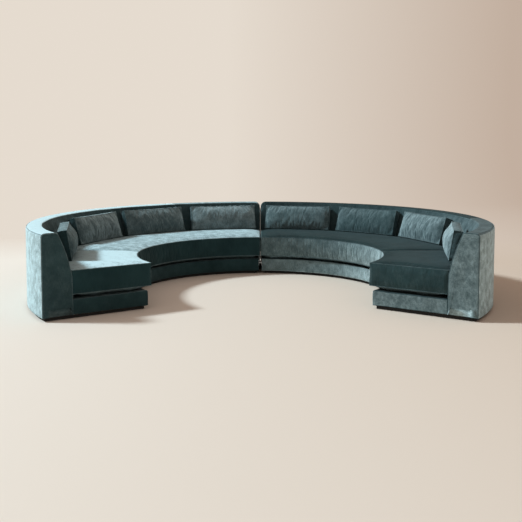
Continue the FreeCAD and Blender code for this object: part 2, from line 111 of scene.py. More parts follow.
# Rises from 0 at both ends to 1 over a run
def crown(place_along, length, run, power=2.2):
    inside = min(place_along, length - place_along, run) / run
    return 1 - (1 - max(0.0, inside)) ** power


WELD_DISTANCE = 0.00002


# A piece of sewn cloth: numbered patches that share their edges
class Sewn:
    def __init__(self):
        self.points = []
        self.faces = []
        self.cloth = []
        self.patches = []

    def patch(self, number, rows, closed=False):
        first = len(self.points)
        width = len(rows[0])
        for row in rows:
            self.points.extend(row)
        across = [0.0]
        for here, there in zip(rows[len(rows) // 2], rows[len(rows) // 2][1:]):
            across.append(across[-1] + (there - here).length)
        along = [0.0]
        for here, there in zip(rows, rows[1:]):
            along.append(along[-1] + (there[width // 2] - here[width // 2]).length)
        last = width if closed else width - 1
        for i in range(len(rows) - 1):
            for j in range(last):
                k = (j + 1) % width
                a = first + i * width
                b = a + width
                self.faces.append((a + j, b + j, b + k, a + k))
                v0 = across[j]
                v1 = across[j + 1] if j + 1 < width else across[j] + 0.01
                self.cloth.extend(((along[i], v0), (along[i + 1], v0), (along[i + 1], v1), (along[i], v1)))
                self.patches.append(number)

    def lid(self, number, loop):
        first = len(self.points)
        self.points.extend(loop)
        self.faces.append(tuple(range(first, first + len(loop))))
        self.cloth.extend((point.x + point.y, point.z) for point in loop)
        self.patches.append(number)

    def build(self, name):
        mesh = bpy.data.meshes.new(name)
        mesh.from_pydata(self.points, [], self.faces)
        cloth = mesh.uv_layers.new(name="cloth")
        cloth.data.foreach_set("uv", np.array(self.cloth, np.float32).ravel())
        patch = mesh.attributes.new("patch", "INT", "FACE")
        patch.data.foreach_set("value", np.array(self.patches, np.int32))
        work = bmesh.new()
        work.from_mesh(mesh)
        bmesh.ops.remove_doubles(work, verts=work.verts, dist=WELD_DISTANCE)
        bmesh.ops.recalc_face_normals(work, faces=work.faces)
        work.to_mesh(mesh)
        work.free()
        mesh.shade_smooth()
        # lids have more than four corners and stay flat
        for polygon in mesh.polygons:
            if len(polygon.vertices) > 4:
                polygon.use_smooth = False
        piece = bpy.data.objects.new(name, mesh)
        scene.collection.objects.link(piece)
        return piece


# Points on an arc of a profile, in degrees
def arc_points(centre, radius, start, end, count):
    turns = spread(math.radians(start), math.radians(end), count)
    return [(centre[0] + radius * math.cos(t), centre[1] + radius * math.sin(t)) for t in turns]


# The profile of the back as runs of (radius, height): inside, top, outside and underside
def back_runs():
    inner = (BACK_TOP_RADIUS + INNER_ROUND, BACK_HEIGHT - INNER_ROUND)
    outer = (WALL_TOP_RADIUS - OUTER_ROUND, BACK_HEIGHT - OUTER_ROUND)
    inside = [(BACK_FOOT_RADIUS, z) for z in spread(FABRIC_BOTTOM, SLANT_START, 22)]
    slant_top = BACK_HEIGHT - INNER_ROUND
    for z in spread(SLANT_START, slant_top, 26)[1:]:
        share = (z - SLANT_START) / (slant_top - SLANT_START)
        radius = BACK_FOOT_RADIUS + (BACK_TOP_RADIUS - BACK_FOOT_RADIUS) * share
        inside.append((radius - FACE_BULGE * 4 * share * (1 - share), z))
    inside += arc_points(inner, INNER_ROUND, 180, 135, 3)[1:]
    top = arc_points(inner, INNER_ROUND, 135, 90, 3)
    top += [(r, BACK_HEIGHT) for r in spread(inner[0], outer[0], 9)[1:]]
    top += arc_points(outer, OUTER_ROUND, 90, 45, 4)[1:]
    outside = arc_points(outer, OUTER_ROUND, 45, 0, 4)
    drop = BACK_HEIGHT - OUTER_ROUND - FABRIC_BOTTOM
    for share in spread(0, 1, 50)[1:]:
        radius = WALL_TOP_RADIUS + (OUTER_RADIUS - WALL_TOP_RADIUS) * share
        outside.append((radius, BACK_HEIGHT - OUTER_ROUND - drop * share))
    flange = OUTER_RADIUS - FLANGE_WIDTH
    under = [(OUTER_RADIUS, FABRIC_BOTTOM), (OUTER_RADIUS - FLANGE_WIDTH / 2, FABRIC_BOTTOM)]
    under += [(flange, FABRIC_BOTTOM), (flange, FABRIC_BOTTOM + RECESS)]
    under += [(BACK_FOOT_RADIUS, FABRIC_BOTTOM + RECESS), (BACK_FOOT_RADIUS, FABRIC_BOTTOM)]
    return [inside, top, outside, under]


# Each point of the closed profile moved in by a depth
def pulled_in(runs, depth):
    loop = [point for run in runs for point in run[:-1]]
    moved = {}
    for number, here in enumerate(loop):
        before, after = loop[number - 1], loop[(number + 1) % len(loop)]
        x, z = after[0] - before[0], after[1] - before[1]
        size = math.hypot(x, z) or 1.0
        moved[number] = (here[0] + depth * z / size, here[1] - depth * x / size)
    result = []
    number = 0
    for run in runs:
        result.append([moved[(number + step) % len(loop)] for step in range(len(run))])
        number += len(run) - 1
    return result


# How far the top corner at the joint has dropped, this far from the joint
def corner_drop(distance):
    if distance >= JOINT_ROUND:
        return 0.0
    return JOINT_ROUND - math.sqrt(JOINT_ROUND ** 2 - (JOINT_ROUND - distance) ** 2)


END_ROUND = 0.005
SWEEP_STEP = 0.0115


# Stations along a sweep as (angle, inset of the section, distance from the joint), closer at ends and seams
def stations(mean_radius, seams):
    reach = math.radians(WRAP) * mean_radius
    places = {0.0, reach}
    for distance in (0.0008, 0.0023, 0.0045, END_ROUND, 0.014, 0.022, 0.033, 0.046, JOINT_ROUND):
        places.add(distance)
        places.add(reach - distance)
    for seam in seams:
        middle = math.radians(seam) * mean_radius
        for distance in (-0.012, -0.005, -0.0015, 0.0, 0.0015, 0.005, 0.012):
            places.add(middle + distance)
    count = round(reach / SWEEP_STEP)
    for number in range(count + 1):
        spot = reach * number / count
        if min(abs(spot - other) for other in places) > SWEEP_STEP * 0.4:
            places.add(spot)
    rows = []
    for spot in sorted(places):
        from_end = min(spot, reach - spot)
        inset = 0.0
        if from_end < END_ROUND:
            inset = END_ROUND - math.sqrt(END_ROUND ** 2 - (END_ROUND - from_end) ** 2)
        rows.append((math.degrees(spot / mean_radius), inset, spot))
    return rows


# Small gathers beside a seam: short waves that fade with distance from it
def gathers(along, away, form, seed):
    length, reach, height = form
    if away > reach:
        return 0.0
    wave = noise.noise(Vector((along / length, seed, away * 12)))
    return height * wave * (1 - away / reach)


# Neighbouring runs of a sweep share their edge points
def share_edges(grid):
    for number, run in enumerate(grid):
        for row, next_row in zip(run, grid[(number + 1) % len(grid)]):
            next_row[0] = row[-1]


# Loops that close a flat end, each smaller and a little prouder than the one before
def puffed_loops(rim, facing, height):
    middle = sum(rim, Vector()) / len(rim)
    loops = [rim]
    for share, bulge in ((0.97, 0.4), (0.92, 0.8), (0.84, 1.0)):
        loops.append([middle + (point - middle) * share + facing * bulge * height for point in rim])
    return loops


# Patches of the back: four to a panel, and one that closes each end
PANEL_STEP = 10
BACK_INSIDE, BACK_TOP, BACK_OUTSIDE, BACK_UNDER = range(4)
JOINT_END = 90
FREE_END = 91

# Surface of the back: panel seams, waves of the cloth, and gathers as (length, reach, height)
GROOVE_DEPTH = 0.0022
GROOVE_WIDTH = 0.004
FACE_WAVE = 0.003
WALL_WAVE = 0.002
TOP_CROWN = 0.0035
TOP_GATHERS = (0.017, 0.035, 0.0025)
WALL_GATHERS = (0.017, 0.045, 0.0022)

# How far the closed ends bulge, and where the corner at the joint starts to drop
JOINT_BULGE = 0.0064
FREE_BULGE = 0.0012
DROP_START = 0.62
DROP_RUN = 0.09

# The end seams run at this station from each end; the top seam stops at this inset of the section
END_STATION = 3
SEAM_INSET = 0.004


def back_upholstery(side, label):
    runs = back_runs()
    insets = {}
    mean = (BACK_FOOT_RADIUS + OUTER_RADIUS) / 2
    rows = stations(mean, PANEL_SEAMS)
    seam_places = [math.radians(seam) * mean for seam in PANEL_SEAMS]
    sewn = Sewn()
    grid = [[], [], [], []]
    for angle, inset, spot in rows:
        key = round(inset, 6)
        if key not in insets:
            insets[key] = pulled_in(runs, inset) if inset else runs
        drop = corner_drop(spot)
        nearest = min(abs(spot - seam) for seam in seam_places)
        groove = GROOVE_DEPTH * math.exp(-((nearest / GROOVE_WIDTH) ** 2))
        for number, run in enumerate(insets[key]):
            line = []
            for radius, height in run:
                lowered = height - drop * smooth((height - DROP_START) / DROP_RUN)
                away = Vector((0, 0, 0))
                if number == BACK_INSIDE:
                    wave = noise.noise(Vector((spot * 3.1, height * 2.3, 7.0 + side)))
                    away -= outward(side, angle) * (FACE_WAVE * wave - groove)
                elif number == BACK_TOP:
                    away += UP * (TOP_CROWN * crown(radius - BACK_TOP_RADIUS, TOP_WIDTH, 0.06) - groove)
                    edge = WALL_TOP_RADIUS - radius
                    away += UP * gathers(spot, edge, TOP_GATHERS, 3.0 + side)
                elif number == BACK_OUTSIDE:
                    edge = BACK_HEIGHT - height
                    away += outward(side, angle) * gathers(spot, edge, WALL_GATHERS, 5.0 + side)
                    wave = noise.noise(Vector((spot * 2.0, height * 1.4, 11.0 + side)))
                    away += outward(side, angle) * (WALL_WAVE * wave - groove)
                line.append(place(side, angle, radius, lowered) + away)
            grid[number].append(line)
    share_edges(grid)
    marks = [0.0] + seam_places + [math.radians(WRAP) * mean]
    for panel in range(len(marks) - 1):
        low, high = marks[panel] - 1e-6, marks[panel + 1] + 1e-6
        picked = [n for n, row in enumerate(rows) if low <= row[2] <= high]
        for number, run in enumerate(grid):
            sewn.patch(PANEL_STEP * panel + number, [run[n] for n in picked])
    joint_end = (0, JOINT_END, -onward(side, 0), JOINT_BULGE)
    free_end = (-1, FREE_END, onward(side, WRAP), FREE_BULGE)
    for end, number, facing, height in (joint_end, free_end):
        rim = [point for run in grid for point in run[end][:-1]]
        loops = puffed_loops(rim, facing, height)
        sewn.patch(number, loops, closed=True)
        sewn.lid(number, loops[-1])
    piece = sewn.build(f"{label}_back_upholstery")
    top_seam = [grid[BACK_OUTSIDE][n][0] for n in range(len(rows)) if rows[n][1] < SEAM_INSET]
    ends = []
    for end in (END_STATION, len(rows) - 1 - END_STATION):
        ends.append([point for run in grid[:BACK_UNDER] for point in run[end]])
    return piece, top_seam, ends


# Base: front, top border, deck and underside as one sewn platform
def base_runs():
    front = BASE_FRONT_RADIUS
    centre = (front + BASE_ROUND, BASE_TOP - BASE_ROUND)
    face = [(front, z) for z in spread(FABRIC_BOTTOM, centre[1], 11)]
    face += arc_points(centre, BASE_ROUND, 180, 135, 2)[1:]
    border = arc_points(centre, BASE_ROUND, 135, 90, 2)
    border += [(r, BASE_TOP) for r in spread(centre[0], front + BORDER_WIDTH, 8)[1:]]
    deck = [(r, BASE_TOP) for r in spread(front + BORDER_WIDTH, BASE_REAR, 40)]
    rear = [(BASE_REAR, z) for z in spread(BASE_TOP, FABRIC_BOTTOM + RECESS, 8)]
    under = [(BASE_REAR, FABRIC_BOTTOM + RECESS), (front + FLANGE_WIDTH, FABRIC_BOTTOM + RECESS)]
    under += [(front + FLANGE_WIDTH, FABRIC_BOTTOM), (front + FLANGE_WIDTH / 2, FABRIC_BOTTOM)]
    under += [(front, FABRIC_BOTTOM)]
    return [face, border, deck, rear, under]


# Angle at a share of the base's length, on a radius; the base starts on a plane a little off the joint
def base_angle(radius, share):
    low = math.degrees(math.asin(BASE_JOINT_INSET / radius))
    return low + (WRAP - low) * share


# Patches of the base, and its surface
FACE, BORDER, DECK, WALL_SIDE, UNDERSIDE = range(5)
BASE_ENDS = (20, 21)
BASE_SWELL = 0.003
DECK_DIP = 0.003
DECK_EDGE = 0.012
BASE_GATHERS = (0.02, 0.09, 0.0016)


def base_upholstery(side, label):
    runs = base_runs()
    border_edge = BASE_FRONT_RADIUS + BORDER_WIDTH
    mean = (BASE_FRONT_RADIUS + BASE_REAR) / 2
    rows = stations(mean, ())
    grid = [[] for run in runs]
    insets = {}
    for angle, inset, spot in rows:
        key = round(inset, 6)
        if key not in insets:
            insets[key] = pulled_in(runs, inset) if inset else runs
        for number, run in enumerate(insets[key]):
            line = []
            for radius, height in run:
                turn = base_angle(radius, angle / WRAP)
                away = Vector((0, 0, 0))
                if number == FACE:
                    swell = math.sin(math.pi * (height - FABRIC_BOTTOM) / (BASE_TOP - FABRIC_BOTTOM))
                    away -= outward(side, turn) * BASE_SWELL * swell
                    away -= outward(side, turn) * gathers(spot, BASE_TOP - height, BASE_GATHERS, 9.0 + side)
                elif number == DECK:
                    away -= UP * DECK_DIP * crown(radius - border_edge, BASE_REAR - border_edge, DECK_EDGE)
                line.append(place(side, turn, radius, height) + away)
            grid[number].append(line)
    share_edges(grid)
    sewn = Sewn()
    for number, run in enumerate(grid):
        sewn.patch(number, run)
    for end, number in zip((0, -1), BASE_ENDS):
        sewn.lid(number, [point for run in grid for point in run[end][:-1]])
    return sewn.build(f"{label}_base_upholstery")


# A box-edged soft shape: six patches over a box of shares (u along, v back to front, w up)
TOP, BOTTOM, FRONT, REAR, START, END = range(6)


def soft_box(name, shape, counts):
    nu, nv, nw = counts
    u, v, w = spread(0, 1, nu), spread(0, 1, nv), spread(0, 1, nw)
    sewn = Sewn()
    sewn.patch(TOP, [[shape(a, b, 1.0) for b in v] for a in u])
    sewn.patch(BOTTOM, [[shape(a, b, 0.0) for b in v] for a in u])
    sewn.patch(FRONT, [[shape(a, 1.0, c) for c in w] for a in u])
    sewn.patch(REAR, [[shape(a, 0.0, c) for c in w] for a in u])
    sewn.patch(START, [[shape(0.0, b, c) for c in w] for b in v])
    sewn.patch(END, [[shape(1.0, b, c) for c in w] for b in v])
    return sewn.build(name)


# Edges between one patch and the others, in order round the piece
def seam_loops(piece, patch):
    mesh = piece.data
    patches = np.zeros(len(mesh.polygons), np.int32)
    mesh.attributes["patch"].data.foreach_get("value", patches)
    beside = {}
    for polygon in mesh.polygons:
        for key in polygon.edge_keys:
            beside.setdefault(key, []).append(patches[polygon.index])
    links = {}
    for (a, b), found in beside.items():
        if len(found) == 2 and (found[0] == patch) != (found[1] == patch):
            links.setdefault(a, []).append(b)
            links.setdefault(b, []).append(a)
    loops = []
    while links:
        start = min(links)
        loop = [start]
        here, before = links[start][0], start
        while here != start:
            loop.append(here)
            ahead = [n for n in links[here] if n != before]
            before, here = here, ahead[0]
        for index in loop:
            del links[index]
        loops.append(loop)
    return loops


# Points of the seams round some patches
def seam_lines(piece, sewn_patches):
    loops = [loop for patch in sewn_patches for loop in seam_loops(piece, patch)]
    return [[piece.data.vertices[n].co.copy() for n in loop] for loop in loops]


PRESSURE = 4.0
FRAMES = 14


# Cloth that swells under pressure while its seams hold it, then keeps within a cap of where it began
def puff(piece, sewn_patches, growth, cap):
    seams = sorted({n for patch in sewn_patches for loop in seam_loops(piece, patch) for n in loop})
    group = piece.vertex_groups.new(name="seam")
    group.add(seams, 1.0, "REPLACE")
    start = np.zeros(len(piece.data.vertices) * 3)
    piece.data.vertices.foreach_get("co", start)
    cloth = piece.modifiers.new("Cloth", "CLOTH")
    settings = cloth.settings
    settings.quality = 3
    settings.mass = 0.3
    settings.tension_stiffness = 12
    settings.compression_stiffness = 12
    settings.shear_stiffness = 4
    settings.bending_stiffness = 0.6
    settings.use_pressure = True
    settings.uniform_pressure_force = PRESSURE
    settings.shrink_min = -growth
    settings.effector_weights.gravity = 0
    settings.vertex_group_mass = "seam"
    cloth.collision_settings.use_collision = False
    cloth.point_cache.frame_start = 1
    cloth.point_cache.frame_end = FRAMES
    for number in range(1, FRAMES + 1):
        scene.frame_set(number)
    graph = bpy.context.evaluated_depsgraph_get()
    made = piece.evaluated_get(graph).data
    end = np.zeros_like(start)
    made.vertices.foreach_get("co", end)
    piece.modifiers.remove(cloth)
    piece.vertex_groups.remove(group)
    scene.frame_set(1)
    move = (end - start).reshape(-1, 3)
    size = np.linalg.norm(move, axis=1)
    move *= (np.minimum(size, cap) / np.maximum(size, 1e-9))[:, None]
    piece.data.vertices.foreach_set("co", (start.reshape(-1, 3) + move).ravel())
    piece.data.update()


# A sewn cord of cloth along a line of points
def piping(name, line, radius, closed=False):
    sides = 8
    count = len(line)
    rings = []
    across = None
    for number, here in enumerate(line):
        if closed:
            ahead, behind = line[(number + 1) % count], line[number - 1]
        else:
            ahead, behind = line[min(number + 1, count - 1)], line[max(number - 1, 0)]
        along = (ahead - behind).normalized()
        if across is None:
            across = along.orthogonal().normalized()
        across = (across - along * across.dot(along)).normalized()
        third = along.cross(across)
        ring = []
        for step in range(sides):
            turn = 2 * math.pi * step / sides
            ring.append(here + (across * math.cos(turn) + third * math.sin(turn)) * radius)
        rings.append(ring)
    points = [point for ring in rings for point in ring]
    faces = []
    for number in range(count if closed else count - 1):
        a, b = number * sides, (number + 1) % count * sides
        for step in range(sides):
            k = (step + 1) % sides
            faces.append((a + step, b + step, b + k, a + k))
    if not closed:
        faces.append(tuple(reversed(range(sides))))
        faces.append(tuple(range((count - 1) * sides, count * sides)))
    mesh = bpy.data.meshes.new(name)
    mesh.from_pydata(points, [], faces)
    work = bmesh.new()
    work.from_mesh(mesh)
    bmesh.ops.recalc_face_normals(work, faces=work.faces)
    work.to_mesh(mesh)
    work.free()
    mesh.shade_smooth()
    piece = bpy.data.objects.new(name, mesh)
    scene.collection.objects.link(piece)
    return piece


# The black cloth stretched over the underside of a section
def dust_cloth(side, label):
    sewn = Sewn()
    rows = []
    for angle in spread(DUST_MARGIN, WRAP - DUST_MARGIN, 90):
        rows.append([place(side, angle, radius, DUST_HEIGHT) for radius in spread(*DUST_RADII, 12)])
    sewn.patch(0, rows)
    return sewn.build(f"{label}_dust_cloth")


# Seat cushions: crown of the top, and belly of the underside up to a limit that stays off the deck
CUSHION_CROWN = 0.020
CUSHION_BELLY = 0.050
BELLY_LIMIT = 0.0405


def cushion_shape(side, start, end):
    middle = (CUSHION_FRONT + CUSHION_REAR) / 2
    length = math.radians(end - start) * middle
    depth = CUSHION_REAR - CUSHION_FRONT
    height = UPPER_SEAM - LOWER_SEAM

    def shape(u, v, w):
        angle = start + (end - start) * u
        radius = CUSHION_REAR - depth * v
        along, across, up = u * length, v * depth, w * height
        rise = crown(along, length, 0.20) * crown(across, depth, 0.26)
        swell = math.sin(math.pi * w) * crown(along, length, 0.05)
        point = place(side, angle, radius, LOWER_SEAM + up)
        if w == 1.0:
            point += UP * CUSHION_CROWN * rise
        elif w == 0.0:
            point -= UP * min(BELLY_LIMIT, CUSHION_BELLY * rise)
        if v == 1.0:
            point -= outward(side, angle) * 0.006 * swell
        elif v == 0.0:
            point += outward(side, angle) * 0.002 * swell
        belly = math.sin(math.pi * w) * crown(across, depth, 0.05)
        if u == 0.0:
            point -= onward(side, angle) * 0.001 * belly
        elif u == 1.0:
            point += onward(side, angle) * 0.001 * belly
        return point

    return shape, length, depth, height


def seat_cushion(side, label, name, start, end, cell):
    shape, length, depth, height = cushion_shape(side, start, end)
    counts = (round(length / cell), round(depth / cell), round(height / cell))
    piece = soft_box(f"{label}_{name}_cushion", shape, counts)
    puff(piece, (TOP, BOTTOM), growth=0.012, cap=0.010)
    return piece


# Back pillows stand on the crowned cushion and lean on the slant; arm pillows stand steeper and are fuller
ARM_LEAN = 8.0
ARM_SETBACK = 0.030
ARM_FULLNESS = 0.060
FULLNESS = 0.034
REAR_FULLNESS = 0.016
FACE_GAP = 0.004
FOOT_RISE = 0.024
FOOT_GAP = 0.003


def back_pillow(side, label, name):
    angle = PILLOWS[name]
    slant = math.degrees(math.atan2(BACK_TOP_RADIUS - BACK_FOOT_RADIUS, BACK_HEIGHT - SLANT_START))
    lean = ARM_LEAN if name == "arm" else slant
    behind_seam = math.tan(math.radians(SLANT_ANGLE)) * (UPPER_SEAM - SLANT_START)
    face = BACK_FOOT_RADIUS + behind_seam - FACE_BULGE - FACE_GAP
    radius = math.sqrt(face ** 2 - (PILLOW_WIDTH / 2) ** 2) - (ARM_SETBACK if name == "arm" else 0.0)
    off_middle = (2 * radius - CUSHION_FRONT - CUSHION_REAR) / (CUSHION_REAR - CUSHION_FRONT)
    foot_height = UPPER_SEAM + FOOT_RISE * (1 - off_middle ** 2) + FOOT_GAP
    foot = place(side, angle, radius, foot_height)
    out, on = outward(side, angle), onward(side, angle)
    fullness = ARM_FULLNESS if name == "arm" else FULLNESS
    tilt = math.radians(lean)
    rise = out * math.sin(tilt) + UP * math.cos(tilt)
    forward = UP * math.sin(tilt) - out * math.cos(tilt)

    def shape(u, v, w):
        along, up = u * PILLOW_WIDTH, w * PILLOW_HEIGHT
        full_u = crown(along, PILLOW_WIDTH, 0.21, 2.0)
        full_w = crown(up, PILLOW_HEIGHT, 0.14, 2.0)
        draw = 0.007 * crown(along, PILLOW_WIDTH, 0.30, 2.0)
        draw_side = 0.005 * full_w
        low, high = draw / 2, PILLOW_HEIGHT - draw
        half = PILLOW_WIDTH / 2 - draw_side
        point = foot + rise * (low + (high - low) * w) + forward * PILLOW_DEPTH * v
        point += on * (2 * u - 1) * half
        if v == 1.0:
            point += forward * fullness * full_u * full_w
        elif v == 0.0:
            point -= forward * REAR_FULLNESS * full_u * full_w
        belly = math.sin(math.pi * v)
        if w == 1.0:
            point += rise * 0.006 * belly * full_u
        elif w == 0.0:
            point -= rise * 0.004 * belly * full_u
        if u == 0.0:
            point -= on * 0.006 * belly * full_w
        elif u == 1.0:
            point += on * 0.006 * belly * full_w
        return point

    counts = [round(size / PILLOW_CELL) for size in (PILLOW_WIDTH, PILLOW_DEPTH, PILLOW_HEIGHT)]
    piece = soft_box(f"{label}_{name}_pillow", shape, counts)
    puff(piece, (FRONT, REAR), growth=0.03, cap=0.012)
    return piece


# How the pile lies on each patch: the lean that it gives the surface, with x outward from the middle joint,
# and how much painted sheen it gets on the left and on the right: painted light, pale where the key from the
# left falls and dark on the right
NAP_AND_PAINTED_SHEEN = {
    "cushion": {
        TOP: ((0.55, 0.0, 0.0), 1.25, 0.02),
        BOTTOM: ((0.0, 0.0, 0.0), 0.2, 0.2),
        FRONT: ((0.0, 0.0, -0.25), 0.06, 0.62),
        REAR: ((0.0, 0.0, -0.25), 0.2, 0.2),
        START: ((0.0, 0.0, -0.25), 0.2, 0.2),
        END: ((0.0, 0.0, -0.25), 0.02, 0.12),
    },
    "pillow": {
        TOP: ((0.3, 0.0, 0.0), 0.6, 0.3),
        BOTTOM: ((0.0, 0.0, 0.0), 0.2, 0.2),
        FRONT: ((0.0, 0.0, 0.2), 0.55, 0.5),
        REAR: ((0.0, 0.0, 0.0), 0.2, 0.2),
        START: ((0.0, 0.0, 0.0), 0.3, 0.1),
        END: ((0.0, 0.0, 0.0), 0.1, 0.3),
    },
    "base": {
        FACE: ((0.0, 0.0, -0.2), 0.06, 0.95),
        BORDER: ((0.3, 0.0, 0.0), 0.3, 0.1),
        DECK: ((0.3, 0.0, 0.0), 0.2, 0.1),
        WALL_SIDE: ((0.0, 0.0, 0.0), 0.1, 0.1),
        UNDERSIDE: ((0.0, 0.0, 0.0), 0.1, 0.1),
        BASE_ENDS[0]: ((0.0, 0.0, 0.0), 0.1, 0.1),
        BASE_ENDS[1]: ((0.0, 0.0, -0.2), 0.06, 0.95),
    },
    "back": {
        JOINT_END: ((0.0, 0.0, 0.0), 0.2, 0.2),
        FREE_END: ((0.0, 0.0, -0.2), 0.15, 0.95),
    },
}
# Tops of the back panels: strong painted sheen on the left, almost none on the right, as painted light from
# the key on the left
for panel, (top_paint_left, top_paint_right) in enumerate(((0.5, 0.02), (1.3, 0.02), (1.3, 0.02), (1.3, 0.2))):
    NAP_AND_PAINTED_SHEEN["back"][PANEL_STEP * panel + BACK_INSIDE] = ((0.0, 0.0, -0.2), 0.2, 0.2)
    NAP_AND_PAINTED_SHEEN["back"][PANEL_STEP * panel + BACK_TOP] = ((0.5, 0.0, 0.0), top_paint_left, top_paint_right)
    NAP_AND_PAINTED_SHEEN["back"][PANEL_STEP * panel + BACK_OUTSIDE] = ((0.0, 0.0, 0.0), 0.9, 0.85)
    NAP_AND_PAINTED_SHEEN["back"][PANEL_STEP * panel + BACK_UNDER] = ((0.0, 0.0, 0.0), 0.1, 0.1)

# Factor on the painted sheen of pieces that get more or less painted light than the rest
PAINTED_SHEEN_FACTOR = {
    "left_long_cushion": 0.5,
    "left_inner_pillow": 1.8,
    "left_arm_pillow": 0.5,
    "right_middle_pillow": 0.5,
    "right_outer_pillow": 0.8,
}


# Stores the lean and the share of painted sheen on the faces of a piece
def lay_nap_and_painted_sheen(piece, kind, side):
    mesh = piece.data
    patches = np.zeros(len(mesh.polygons), np.int32)
    mesh.attributes["patch"].data.foreach_get("value", patches)
    lean = np.zeros((len(patches), 3), np.float32)
    bloom = np.zeros(len(patches), np.float32)
    for number, (direction, paint_left, paint_right) in NAP_AND_PAINTED_SHEEN[kind].items():
        here = patches == number
        lean[here] = (direction[0] * side, direction[1], direction[2])
        bloom[here] = (paint_left if side < 0 else paint_right) * PAINTED_SHEEN_FACTOR.get(piece.name, 1.0)
    for name, form, values in (("nap", "FLOAT_VECTOR", lean), ("bloom", "FLOAT", bloom)):
        layer = mesh.attributes.get(name) or mesh.attributes.new(name, form, "FACE")
        layer.data.foreach_set("vector" if form == "FLOAT_VECTOR" else "value", values.ravel())


# Materials
def material(name):
    made = bpy.data.materials.new(name)
    made.use_nodes = True
    tree = made.node_tree
    return made, tree, tree.nodes["Principled BSDF"]


def noise_node(tree, vector, scale, detail):
    node = tree.nodes.new("ShaderNodeTexNoise")
    node.inputs["Scale"].default_value = scale
    node.inputs["Detail"].default_value = detail
    tree.links.new(vector, node.inputs["Vector"])
    return node.outputs["Fac"]


def mapped(tree, vector, scale):
    node = tree.nodes.new("ShaderNodeMapping")
    node.inputs["Scale"].default_value = scale
    tree.links.new(vector, node.inputs["Vector"])
    return node.outputs["Vector"]


def ranged(tree, value, low, high, to_low, to_high):
    node = tree.nodes.new("ShaderNodeMapRange")
    tree.links.new(value, node.inputs["Value"])
    for name, number in (("From Min", low), ("From Max", high), ("To Min", to_low), ("To Max", to_high)):
        node.inputs[name].default_value = number
    return node.outputs["Result"]


def vector_math(tree, operation, *inputs):
    node = tree.nodes.new("ShaderNodeVectorMath")
    node.operation = operation
    for number, given in enumerate(inputs):
        tree.links.new(given, node.inputs[number])
    return node.outputs["Vector"]


def times(tree, first, *others):
    for other in others:
        node = tree.nodes.new("ShaderNodeMath")
        node.operation = "MULTIPLY"
        tree.links.new(first, node.inputs[0])
        tree.links.new(other, node.inputs[1])
        first = node.outputs[0]
    return first


def mixed(tree, share, one, two):
    node = tree.nodes.new("ShaderNodeMix")
    node.data_type = "RGBA"
    tree.links.new(share, node.inputs["Factor"])
    node.inputs["A"].default_value = (*one, 1)
    node.inputs["B"].default_value = (*two, 1)
    return node.outputs["Result"]


